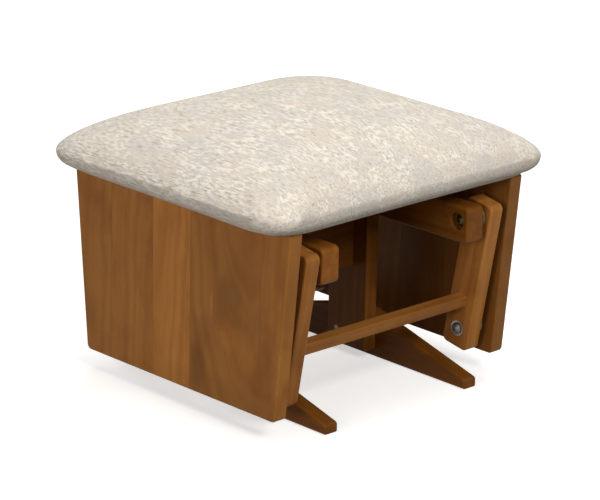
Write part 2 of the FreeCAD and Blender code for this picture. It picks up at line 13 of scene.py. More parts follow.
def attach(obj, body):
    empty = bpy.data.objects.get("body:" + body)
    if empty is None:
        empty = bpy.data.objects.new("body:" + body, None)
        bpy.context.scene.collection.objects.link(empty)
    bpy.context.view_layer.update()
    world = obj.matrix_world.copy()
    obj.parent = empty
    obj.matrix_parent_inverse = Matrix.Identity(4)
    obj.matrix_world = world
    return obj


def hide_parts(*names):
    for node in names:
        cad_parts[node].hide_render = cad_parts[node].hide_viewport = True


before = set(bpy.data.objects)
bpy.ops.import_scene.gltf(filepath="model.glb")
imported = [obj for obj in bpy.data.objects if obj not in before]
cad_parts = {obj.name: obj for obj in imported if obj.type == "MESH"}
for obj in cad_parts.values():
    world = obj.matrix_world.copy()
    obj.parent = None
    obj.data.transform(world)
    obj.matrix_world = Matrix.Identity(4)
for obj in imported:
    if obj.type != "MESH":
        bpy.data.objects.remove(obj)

MM = 0.001
LOG = logging.getLogger("glider_ottoman")
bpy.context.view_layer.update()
SMOOTH = {"interpolation_type": "SMOOTHSTEP"}
MULTIPLY = {"operation": "MULTIPLY"}
OF_COLOURS = {"data_type": "RGBA"}
# A mix node has its two colours and its mixed colour at these places among its sockets.
FIRST_COLOUR, SECOND_COLOUR, MIXED_COLOUR = 6, 7, 2


def linear(hex_colour: str) -> tuple[float, float, float, float]:
    """Turn an sRGB hex colour into the linear RGBA that a shader takes.

    Args:
        hex_colour: A colour such as "#8A5A30".

    Returns:
        Linear red, green, blue and an alpha of 1.
    """
    channels = [int(hex_colour[i:i + 2], 16) / 255 for i in (1, 3, 5)]
    return tuple(c / 12.92 if c <= 0.04045 else ((c + 0.055) / 1.055) ** 2.4 for c in channels) + (1.0,)


def add_node(tree: bpy.types.NodeTree, kind: str, settings: dict | None = None,
             links: dict | None = None) -> bpy.types.Node:
    """Add a shader node, with its settings and what feeds its inputs.

    Args:
        tree: The material's node tree.
        kind: The node's type name.
        settings: Attribute names and their values.
        links: Input names or numbers, each with a socket to link or a value to set.

    Returns:
        The new node.
    """
    node = tree.nodes.new(kind)
    for name, value in (settings or {}).items():
        setattr(node, name, value)
    for key, value in (links or {}).items():
        if isinstance(value, bpy.types.NodeSocket):
            tree.links.new(value, node.inputs[key])
        else:
            node.inputs[key].default_value = value
    return node


class Grain(Enum):
    """The axis that a board's grain follows: the two axes across it, then the one along it."""

    ALONG_X = ("Y", "Z", "X")
    ALONG_Y = ("X", "Z", "Y")
    ALONG_Z = ("X", "Y", "Z")


@dataclass(frozen=True)
class Heart:
    """Where the growth rings of one board of a panel are centred.

    The middle of the rings meets the face at a height and sinks away from it at a slope, so the
    rings cross the face as nested arches.
    """

    y_mm: float
    height_mm: float
    slope: float


@dataclass(frozen=True)
class StainAndLightMark:
    """A soft spot on a panel that is lighter or darker than round it. Most are where the stain took more
    or less; some are a painted highlight or painted shade.
    """

    y_mm: float
    z_mm: float
    half_width_mm: float
    half_height_mm: float
    shade: float


@dataclass(frozen=True)
class StainedMaple:
    """Hard maple, sanded and wiped with a honey-brown stain, under a sprayed satin lacquer.

    The stain takes unevenly, so the eye sees soft blotches, faint nested arches and long pale and
    dark bands rather than open pores, and the lacquer gives a broad soft highlight.
    """

    name: str
    grain: Grain
    seed_mm: float = 0.0
    lean: float = 0.0
    joints_mm: tuple[float, ...] = ()
    # One tone for each board, front to rear. On some boards a tone below 1 is painted shade.
    tones_and_shade: tuple[float, ...] = (1.0,)
    hearts: tuple[Heart, ...] = ()
    stain_and_light_marks: tuple[StainAndLightMark, ...] = ()
    light: str = "#B2783A"
    middle: str = "#9A5F27"
    dark: str = "#7C4616"
    band_width_mm: float = 9.0
    band_length_mm: float = 240.0
    ring_mm: float = 17.0
    fibre_width_mm: float = 1.6
    fibre_length_mm: float = 34.0
    blotch_mm: float = 64.0
    fleck_width_mm: float = 3.0
    fleck_length_mm: float = 9.0
    fibre_depth_mm: float = 0.05
    wander_width_mm: float = 90.0
    wander_length_mm: float = 260.0
    bend_mm: float = 18.0
    ring_bend: float = 3.0
    joint_near_mm: float = 0.2
    joint_far_mm: float = 1.4
    joint_shade: float = 0.88
    least_roughness: float = 0.36
    most_roughness: float = 0.50
    specular: float = 0.07
    coat: float = 0.04
    coat_roughness: float = 0.28

    def build(self) -> bpy.types.Material:
        """Make the material.

        Returns:
            The finished material.
        """
        material = bpy.data.materials.new(self.name)
        material.use_nodes = True
        tree = material.node_tree
        shader = tree.nodes["Principled BSDF"]
        place = add_node(tree, "ShaderNodeTexCoord").outputs["Object"]
        if self.lean:
            place = add_node(tree, "ShaderNodeVectorRotate", {"rotation_type": "X_AXIS"},
                             {"Vector": place, "Angle": self.lean}).outputs[0]
        axes = add_node(tree, "ShaderNodeSeparateXYZ", links={0: place}).outputs
        passed = [add_node(tree, "ShaderNodeMath", {"operation": "GREATER_THAN"},
                           {0: axes["Y"], 1: joint * MM}).outputs[0] for joint in self.joints_mm]
        layers = self._layers(tree, axes, passed)
        bands, least, most = layers["bands"], 0.0, 1.0
        if self.hearts:
            bands, least, most = self._arches(tree, axes, passed, layers["wander"]), 0.15, 0.85
        band_share = add_node(tree, "ShaderNodeMapRange", SMOOTH, {
            "Value": bands, "From Min": 0.22, "From Max": 0.78,
            "To Min": least, "To Max": most}).outputs[0]
        blotch_share = add_node(tree, "ShaderNodeMapRange", SMOOTH, {
            "Value": layers["blotches"], "From Min": 0.40, "From Max": 0.80,
            "To Min": 0.0, "To Max": 0.6}).outputs[0]
        colour = add_node(tree, "ShaderNodeMix", OF_COLOURS,
                          {"Factor": band_share, FIRST_COLOUR: linear(self.middle),
                           SECOND_COLOUR: linear(self.light)}).outputs[MIXED_COLOUR]
        colour = add_node(tree, "ShaderNodeMix", OF_COLOURS,
                          {"Factor": blotch_share, FIRST_COLOUR: colour,
                           SECOND_COLOUR: linear(self.dark)}).outputs[MIXED_COLOUR]
        tone = self._tone(tree, axes, passed, layers)
        colour = add_node(tree, "ShaderNodeVectorMath", {"operation": "SCALE"},
                          {0: colour, "Scale": tone}).outputs[0]
        roughness = add_node(tree, "ShaderNodeMapRange", links={
            "Value": layers["fibres"], "To Min": self.least_roughness,
            "To Max": self.most_roughness}).outputs[0]
        bump = add_node(tree, "ShaderNodeBump", links={
            "Strength": 0.5, "Distance": self.fibre_depth_mm * MM, "Height": layers["fibres"]}).outputs[0]
        for key, socket in {"Base Color": colour, "Roughness": roughness, "Normal": bump}.items():
            tree.links.new(socket, shader.inputs[key])
        shader.inputs["Specular IOR Level"].default_value = self.specular
        shader.inputs["Coat Weight"].default_value = self.coat
        shader.inputs["Coat Roughness"].default_value = self.coat_roughness
        return material

    def _layers(self, tree: bpy.types.NodeTree, axes: bpy.types.NodeOutputs,
                passed: list[bpy.types.NodeSocket]) -> dict[str, bpy.types.NodeSocket]:
        """Add the patterns of the wood, stretched along the grain and bent by the first of them.

        Args:
            tree: The material's node tree.
            axes: The place's separate coordinates.
            passed: For each joint between boards, whether the point lies past it.

        Returns:
            The patterns by name, each from 0 to 1.
        """
        across, through, along = self.grain.value
        shift = self._per_board(tree, passed, tuple(float(i) for i in range(len(passed) + 1)))
        place = add_node(tree, "ShaderNodeCombineXYZ",
                         links={"X": axes[across], "Y": axes[through], "Z": axes[along]}).outputs[0]
        shift = add_node(tree, "ShaderNodeCombineXYZ",
                         links={"X": shift, "Y": shift, "Z": shift}).outputs[0]
        place = add_node(tree, "ShaderNodeVectorMath", {"operation": "ADD"},
                         {0: place, 1: shift}).outputs[0]
        # Each has its width across the grain, its length along it and its detail.
        sizes_mm = {
            "wander": (self.wander_width_mm, self.wander_length_mm, 2.0),
            "bands": (self.band_width_mm, self.band_length_mm, 3.0),
            "fibres": (self.fibre_width_mm, self.fibre_length_mm, 4.0),
            "blotches": (self.blotch_mm, self.blotch_mm * 1.4, 3.0),
            "flecks": (self.fleck_width_mm, self.fleck_length_mm, 1.0),
        }
        layers = {}
        for name, (width, length, detail) in sizes_mm.items():
            rates = (1 / (width * MM), 1 / (width * MM), 1 / (length * MM))
            seed = (self.seed_mm, self.seed_mm * 0.7, self.seed_mm * 1.3)
            scaled = add_node(tree, "ShaderNodeVectorMath", {"operation": "MULTIPLY_ADD"},
                              {0: place, 1: rates, 2: seed}).outputs[0]
            noise = add_node(tree, "ShaderNodeTexNoise",
                             links={"Vector": scaled, "Scale": 1.0, "Detail": detail}).outputs
            layers[name] = noise["Fac"]
            if name == "wander":
                bend = (self.bend_mm * MM, self.bend_mm * MM, 0.0)
                place = add_node(tree, "ShaderNodeVectorMath", {"operation": "MULTIPLY_ADD"},
                                 {0: noise["Color"], 1: bend, 2: place}).outputs[0]
        return layers

    def _per_board(self, tree: bpy.types.NodeTree, passed: list[bpy.types.NodeSocket],
                   values: tuple[float, ...]) -> bpy.types.NodeSocket | float:
        """Choose a value by the board that a point lies in.

        Args:
            tree: The material's node tree.
            passed: For each joint, whether the point lies past it.
            values: One value for each board, from front to rear.

        Returns:
            The board's value.
        """
        chosen = values[0]
        for past, before, after in zip(passed, values, values[1:]):
            chosen = add_node(tree, "ShaderNodeMath", {"operation": "MULTIPLY_ADD"},
                              {0: past, 1: after - before, 2: chosen}).outputs[0]
        return chosen

    def _arches(self, tree: bpy.types.NodeTree, axes: bpy.types.NodeOutputs,
                passed: list[bpy.types.NodeSocket],
                wander: bpy.types.NodeSocket) -> bpy.types.NodeSocket:
        """Add the growth rings as they cross a panel's face.

        Args:
            tree: The material's node tree.
            axes: The place's separate coordinates.
            passed: For each joint, whether the point lies past it.
            wander: Slow noise that bends the rings.

        Returns:
            How pale each ring is, from 0 to 1.
        """
        heart_y = self._per_board(tree, passed, tuple(heart.y_mm * MM for heart in self.hearts))
        height = self._per_board(tree, passed, tuple(heart.height_mm * MM for heart in self.hearts))
        slope = self._per_board(tree, passed, tuple(heart.slope for heart in self.hearts))
        heart = add_node(tree, "ShaderNodeCombineXYZ", links={"X": heart_y, "Y": height}).outputs[0]
        face = add_node(tree, "ShaderNodeCombineXYZ", links={"X": axes["Y"], "Y": axes["Z"]}).outputs[0]
        away = add_node(tree, "ShaderNodeVectorMath", {"operation": "SUBTRACT"},
                        {0: face, 1: heart}).outputs[0]
        slope = add_node(tree, "ShaderNodeCombineXYZ", links={"X": 1.0, "Y": slope}).outputs[0]
        away = add_node(tree, "ShaderNodeVectorMath", MULTIPLY, {0: away, 1: slope}).outputs[0]
        radius = add_node(tree, "ShaderNodeVectorMath", {"operation": "LENGTH"},
                          {0: away}).outputs["Value"]
        bend = add_node(tree, "ShaderNodeMath", MULTIPLY, {0: wander, 1: self.ring_bend}).outputs[0]
        rings = add_node(tree, "ShaderNodeMath", {"operation": "MULTIPLY_ADD"},
                         {0: radius, 1: 1 / (self.ring_mm * MM), 2: bend}).outputs[0]
        return add_node(tree, "ShaderNodeTexNoise", {"noise_dimensions": "1D"},
                        {"W": rings, "Scale": 1.0, "Detail": 1.5}).outputs["Fac"]

    def _tone(self, tree: bpy.types.NodeTree, axes: bpy.types.NodeOutputs,
              passed: list[bpy.types.NodeSocket],
              layers: dict[str, bpy.types.NodeSocket]) -> bpy.types.NodeSocket:
        """Add all that makes the stain lighter or darker from place to place, painted shade and a painted
        highlight among them.

        Args:
            tree: The material's node tree.
            axes: The place's separate coordinates.
            passed: For each joint, whether the point lies past it.
            layers: The patterns of the wood.

        Returns:
            What the stain's colour is multiplied by.
        """
        factors = [
            self._per_board(tree, passed, self.tones_and_shade),
            add_node(tree, "ShaderNodeMapRange", SMOOTH, {
                "Value": layers["fibres"], "From Min": 0.25, "From Max": 0.75,
                "To Min": 0.97, "To Max": 1.03}).outputs[0],
            add_node(tree, "ShaderNodeMapRange", SMOOTH, {
                "Value": layers["flecks"], "From Min": 0.26, "From Max": 0.36,
                "To Min": 0.86, "To Max": 1.0}).outputs[0],
        ]
        for joint in self.joints_mm:
            off = add_node(tree, "ShaderNodeMath", {"operation": "SUBTRACT"},
                           {0: axes["Y"], 1: joint * MM}).outputs[0]
            off = add_node(tree, "ShaderNodeMath", {"operation": "ABSOLUTE"}, {0: off}).outputs[0]
            factors.append(add_node(tree, "ShaderNodeMapRange", SMOOTH, {
                "Value": off, "From Min": self.joint_near_mm * MM, "From Max": self.joint_far_mm * MM,
                "To Min": self.joint_shade, "To Max": 1.0}).outputs[0])
        for mark in self.stain_and_light_marks:
            rates = (0.0, 1 / (mark.half_width_mm * MM), 1 / (mark.half_height_mm * MM))
            middle = (0.0, -mark.y_mm / mark.half_width_mm, -mark.z_mm / mark.half_height_mm)
            place = add_node(tree, "ShaderNodeCombineXYZ",
                             links={"Y": axes["Y"], "Z": axes["Z"]}).outputs[0]
            away = add_node(tree, "ShaderNodeVectorMath", {"operation": "MULTIPLY_ADD"},
                            {0: place, 1: rates, 2: middle}).outputs[0]
            far = add_node(tree, "ShaderNodeVectorMath", {"operation": "LENGTH"},
                           {0: away}).outputs["Value"]
            far = add_node(tree, "ShaderNodeMath", {"operation": "ADD"},
                           {0: far, 1: layers["blotches"]}).outputs[0]
            factors.append(add_node(tree, "ShaderNodeMapRange", SMOOTH, {
                "Value": far, "From Min": 0.95, "From Max": 1.65,
                "To Min": mark.shade, "To Max": 1.0}).outputs[0])
        tone = factors[0]
        for factor in factors[1:]:
            tone = add_node(tree, "ShaderNodeMath", MULTIPLY, {0: tone, 1: factor}).outputs[0]
        return tone


@dataclass(frozen=True)
class MottledChenille:
    """Woven upholstery chenille: soft tufted yarn in cream, greige and pale grey.

    Short cream tufts lie in clusters on a greyer ground, so the cloth looks mottled from afar. The
    pile scatters light, so it has a faint sheen towards its edges and no highlight.
    """

    name: str
    cream: str = "#F8F0E1"
    greige: str = "#DFD3C3"
    grey: str = "#D8D0C4"
    shadow: str = "#B9AC9C"
    tuft_width_mm: float = 3.6
    tuft_length_mm: float = 11.0
    cluster_mm: float = 30.0
    cloud_mm: float = 75.0
    thread_width_mm: float = 2.2
    thread_length_mm: float = 16.0
    # The real yarn is about 0.9 mm apart, too fine to show, so it is drawn at over twice that.
    yarn_spacing_mm: float = 2.2
    yarn_depth_mm: float = 0.35
    yarn_waver: float = 1.5
    roughness: float = 0.92
    specular: float = 0.2
    sheen: float = 0.08
    sheen_roughness: float = 0.6

    def build(self) -> bpy.types.Material:
        """Make the material.

        Returns:
            The finished material.
        """
        material = bpy.data.materials.new(self.name)
        material.use_nodes = True
        tree = material.node_tree
        shader = tree.nodes["Principled BSDF"]
        place = add_node(tree, "ShaderNodeTexCoord").outputs["Object"]
        layers = self._layers(tree, place)
        tuft_share = add_node(tree, "ShaderNodeMath", MULTIPLY,
                              {0: layers["tufts"], 1: layers["clusters"]}).outputs[0]
        colour = linear(self.greige)
        laid_over = ((layers["clouds"], self.grey), (tuft_share, self.cream),
                     (layers["threads"], self.shadow))
        for share, over in laid_over:
            colour = add_node(tree, "ShaderNodeMix", OF_COLOURS,
                              {"Factor": share, FIRST_COLOUR: colour,
                               SECOND_COLOUR: linear(over)}).outputs[MIXED_COLOUR]
        # The wave texture has its own factor of 20 between its scale and an angle.
        scale = 2 * math.pi / (self.yarn_spacing_mm * MM) / 20
        weft, warp = [add_node(
            tree, "ShaderNodeTexWave", {"bands_direction": axis, "wave_profile": "SIN"},
            {"Vector": place, "Scale": scale, "Distortion": self.yarn_waver, "Detail": 2.0}
        ).outputs["Fac"] for axis in ("X", "Y")]
        height = add_node(tree, "ShaderNodeMath", {"operation": "MULTIPLY_ADD"},
                          {0: weft, 1: warp, 2: layers["tufts"]}).outputs[0]
        bump = add_node(tree, "ShaderNodeBump", links={
            "Strength": 0.7, "Distance": self.yarn_depth_mm * MM, "Height": height}).outputs[0]
        tree.links.new(colour, shader.inputs["Base Color"])
        tree.links.new(bump, shader.inputs["Normal"])
        shader.inputs["Roughness"].default_value = self.roughness
        shader.inputs["Specular IOR Level"].default_value = self.specular
        shader.inputs["Sheen Weight"].default_value = self.sheen
        shader.inputs["Sheen Roughness"].default_value = self.sheen_roughness
        return material

    def _layers(self, tree: bpy.types.NodeTree,
                place: bpy.types.NodeSocket) -> dict[str, bpy.types.NodeSocket]:
        """Add the patterns of the cloth, each with patches of a real size.

        Args:
            tree: The material's node tree.
            place: Object coordinates in metres.

        Returns:
            How much each pattern shows, from 0 to 1.
        """
        # Each has its width, length and detail, then the noise at which it starts and is full, and
        # how much it shows at both.
        patterns = {
            "tufts": (self.tuft_width_mm, self.tuft_length_mm, 2.0, (0.42, 0.60, 0.0, 1.0)),
            "clusters": (self.cluster_mm, self.cluster_mm * 1.4, 3.0, (0.36, 0.62, 0.32, 0.95)),
            "clouds": (self.cloud_mm, self.cloud_mm, 2.0, (0.40, 0.60, 0.0, 1.0)),
            "threads": (self.thread_width_mm, self.thread_length_mm, 1.0, (0.56, 0.74, 0.0, 0.85)),
        }
        layers = {}
        for number, (name, (width, length, detail, limits)) in enumerate(patterns.items()):
            low, high, least, most = limits
            rates = (1 / (width * MM), 1 / (length * MM), 1 / (width * MM))
            seed = (3.0 * number, 3.0 * number, 3.0 * number)
            scaled = add_node(tree, "ShaderNodeVectorMath", {"operation": "MULTIPLY_ADD"},
                              {0: place, 1: rates, 2: seed}).outputs[0]
            noise = add_node(tree, "ShaderNodeTexNoise",
                             links={"Vector": scaled, "Scale": 1.0, "Detail": detail}).outputs["Fac"]
            layers[name] = add_node(tree, "ShaderNodeMapRange", SMOOTH, {
                "Value": noise, "From Min": low, "From Max": high,
                "To Min": least, "To Max": most}).outputs[0]
        return layers


@dataclass(frozen=True)
class PlainMetal:
    """A metal hardware finish: zinc plate, polished bearing steel or brass.

    The finish is rolled or turned, so it has fine uneven gloss and small dull patches.
    """

    name: str
    colour: str
    dull: str
    roughness: float
    patch_mm: float = 3.0
    glossier: float = 0.08
    duller: float = 0.12

    def build(self) -> bpy.types.Material:
        """Make the material.

        Returns:
            The finished material.
        """
        material = bpy.data.materials.new(self.name)
        material.use_nodes = True
        tree = material.node_tree
        shader = tree.nodes["Principled BSDF"]
        place = add_node(tree, "ShaderNodeTexCoord").outputs["Object"]
        patches = add_node(tree, "ShaderNodeTexNoise", links={
            "Vector": place, "Scale": 1 / (self.patch_mm * MM), "Detail": 3.0}).outputs["Fac"]
        colour = add_node(tree, "ShaderNodeMix", OF_COLOURS,
                          {"Factor": patches, FIRST_COLOUR: linear(self.colour),
                           SECOND_COLOUR: linear(self.dull)}).outputs[MIXED_COLOUR]
        roughness = add_node(tree, "ShaderNodeMapRange", links={
            "Value": patches, "To Min": self.roughness - self.glossier,
            "To Max": self.roughness + self.duller}).outputs[0]
        tree.links.new(colour, shader.inputs["Base Color"])
        tree.links.new(roughness, shader.inputs["Roughness"])
        shader.inputs["Metallic"].default_value = 1.0
        return material


@dataclass(frozen=True)
class TurnedNylon:
    """Natural nylon, turned from bar: waxy, off-white and a little see-through at its edges. Its colours
    here are darker than off-white: painted shade.
    """

    name: str
    # Painted shade: these colours are far darker than natural nylon, for washers that sit in shade under
    # the seat.
    colour: str = "#8E8574"
    shade: str = "#766D5B"
    ring_mm: float = 0.8
    groove_mm: float = 0.05
    roughness: float = 0.45
    ior: float = 1.53
    see_through: float = 0.1
    see_through_mm: float = 2.0

    def build(self) -> bpy.types.Material:
        """Make the material.

        Returns:
            The finished material.
        """
        material = bpy.data.materials.new(self.name)
        material.use_nodes = True
        tree = material.node_tree
        shader = tree.nodes["Principled BSDF"]
        place = add_node(tree, "ShaderNodeTexCoord").outputs["Object"]
        grain = add_node(tree, "ShaderNodeTexNoise", links={
            "Vector": place, "Scale": 1 / (self.ring_mm * MM), "Detail": 2.0}).outputs["Fac"]
        colour = add_node(tree, "ShaderNodeMix", OF_COLOURS,
                          {"Factor": grain, FIRST_COLOUR: linear(self.colour),
                           SECOND_COLOUR: linear(self.shade)}).outputs[MIXED_COLOUR]
        bump = add_node(tree, "ShaderNodeBump", links={
            "Strength": 0.2, "Distance": self.groove_mm * MM, "Height": grain}).outputs[0]
        tree.links.new(colour, shader.inputs["Base Color"])
        tree.links.new(bump, shader.inputs["Normal"])
        shader.inputs["Roughness"].default_value = self.roughness
        shader.inputs["IOR"].default_value = self.ior
        shader.inputs["Subsurface Weight"].default_value = self.see_through
        shader.inputs["Subsurface Scale"].default_value = self.see_through_mm * MM
        return material


@dataclass
class WoodenFrame:
    """The boards of the base, the arms and the platform, each of maple along its own grain."""

    arm_lean: float = math.radians(10.26)

    def boards(self) -> dict[str, StainedMaple]:
        """Choose the wood of each board.

        Returns:
            Node names with their wood.
        """
        finishes = {
            "left_side_panel": StainedMaple(
                "maple_left_panel", Grain.ALONG_Z, 3.1, joints_mm=(-23.5, 53.5, 141.0),
                tones_and_shade=(0.98, 1.36, 1.10, 1.06),
                hearts=(Heart(-130, 320, 0.30), Heart(95, 620, 0.10),
                        Heart(10, -300, 0.12), Heart(240, 700, 0.08)),
                # Among these marks, the one at y -193 is a painted highlight: it lightens the panel's
                # front edge, which faces the light.
                stain_and_light_marks=(StainAndLightMark(-104, 184, 28, 36, 0.80), StainAndLightMark(-120, 200, 46, 60, 0.92),
                       StainAndLightMark(-40, 74, 20, 42, 0.76), StainAndLightMark(-67, 164, 3.5, 20, 1.30),
                       StainAndLightMark(-98, 130, 24, 26, 1.15), StainAndLightMark(-138, 106, 20, 28, 1.14),
                       StainAndLightMark(-163, 150, 3, 100, 0.90), StainAndLightMark(-158, 62, 13, 10, 0.84),
                       # The wide mark at height 30 is painted shade: it darkens the panel towards its
                       # foot.
                       StainAndLightMark(-193, 150, 16, 150, 1.16), StainAndLightMark(-60, 30, 160, 34, 0.90))),
            "right_side_panel": StainedMaple(
                "maple_right_panel", Grain.ALONG_Z, 8.4, joints_mm=(-96.0, -8.0, 88.0),
                # Painted shade: the right panel's boards get tones well below the left panel's, for the
                # side that lies away from the light.
                tones_and_shade=(0.76, 0.74, 0.84, 0.78),
                hearts=(Heart(-230, 600, 0.10), Heart(-40, -260, 0.16),
                        Heart(150, 640, 0.09), Heart(120, 330, 0.28))),
            "seat_board": StainedMaple(
                "birch_plywood_sheet", Grain.ALONG_X, 5.5, light="#D2B185", middle="#BE9A6B",
                dark="#A98253", band_width_mm=30.0, band_length_mm=300.0),
        }
        # Painted shade: the boards of the base and the seat battens take this darker copy of the stain,
        # for the shade they lie in under the seat.
        shaded_stain = {"light": "#9A5F24", "middle": "#844D18", "dark": "#633409"}
        frame_boards = {
            # Painted shade: the runners' and the cross board's tones are lowered, for the shade they lie
            # in beside the panels and under the seat.
            "right_runner": (Grain.ALONG_Y, 0.78), "left_runner": (Grain.ALONG_Y, 0.84),
            "right_top_rail": (Grain.ALONG_Y, 0.84), "left_top_rail": (Grain.ALONG_Y, 1.12),
            "right_cleat": (Grain.ALONG_Y, 0.9), "left_cleat": (Grain.ALONG_Y, 0.9),
            "right_upright": (Grain.ALONG_Z, 0.76), "left_upright": (Grain.ALONG_Z, 0.76),
            "cross_board": (Grain.ALONG_X, 0.66),
            "front_seat_batten": (Grain.ALONG_X, 0.9), "rear_seat_batten": (Grain.ALONG_X, 0.9),
        }
        arm_boards = {
            "front_tie_bar": (Grain.ALONG_X, 0.0, 1.0), "rear_tie_bar": (Grain.ALONG_X, 0.0, 1.0),
            "front_right_arm": (Grain.ALONG_Z, -self.arm_lean, 1.26),
            "front_left_arm": (Grain.ALONG_Z, -self.arm_lean, 1.14),
            "rear_right_arm": (Grain.ALONG_Z, self.arm_lean, 0.9),
            "rear_left_arm": (Grain.ALONG_Z, self.arm_lean, 0.9),
        }
        for number, (node, (grain, tone)) in enumerate(frame_boards.items()):
            seed = 11.0 + 2.3 * number
            finishes[node] = StainedMaple("maple_" + node, grain, seed, tones_and_shade=(tone,), **shaded_stain)
        for number, (node, (grain, lean, tone)) in enumerate(arm_boards.items()):
            seed = 43.0 + 2.3 * number
            finishes[node] = StainedMaple("maple_" + node, grain, seed, lean, tones_and_shade=(tone,))
        return finishes

    def dress(self) -> None:
        """Give each board its wood."""
        boards = self.boards()
        for node, finish in boards.items():
            dress_node(node, finish.build())
        LOG.info("wood on %d boards", len(boards))


@dataclass
class Hardware:
    """The bolts, bearings, washers, sleeves and screws."""

    def dress(self) -> None:
        """Give each group of hardware its metal or plastic."""
        # The zinc is darker and warmer than bright plating: painted shade, for hardware that sits in
        # shade between the boards.
        zinc = PlainMetal("zinc_plated_steel_darkened_for_shade", "#77726A", "#57534D", 0.52).build()
        bearing = PlainMetal("polished_bearing_steel", "#A9ABAD", "#8B8E91", 0.28, 5.0).build()
        brass = PlainMetal("machined_brass", "#C7A15A", "#9A7A3F", 0.3).build()
        nylon = TurnedNylon("nylon_darkened_for_shade").build()
        # Painted shade: the upper pivot bolts and their washers, deep in the rails' recesses, get a dark
        # brown copy of the zinc.
        bolt_metal_in_deep_shade = PlainMetal("zinc_darkened_for_deep_shade", "#5E4A30", "#3C2E1C", 0.5).build()
        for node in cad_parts:
            if node in ("upper_pivot_bolts", "upper_bolt_washers"):
                dress_node(node, bolt_metal_in_deep_shade)
            elif "nylon" in node:
                dress_node(node, nylon)
            elif "rings" in node:
                dress_node(node, bearing)
            elif "inserts" in node:
                dress_node(node, brass)
            elif any(word in node for word in ("screws", "bolt", "nuts", "sleeves", "spacers")):
                dress_node(node, zinc)
        LOG.info("hardware dressed")


def dress_node(node: str, material: bpy.types.Material) -> None:
    """Put a material on a CAD node in place of its plain one.

    Args:
        node: The node's name.
        material: What it is made of.
    """
    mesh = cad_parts[node].data
    mesh.materials.clear()
    mesh.materials.append(material)


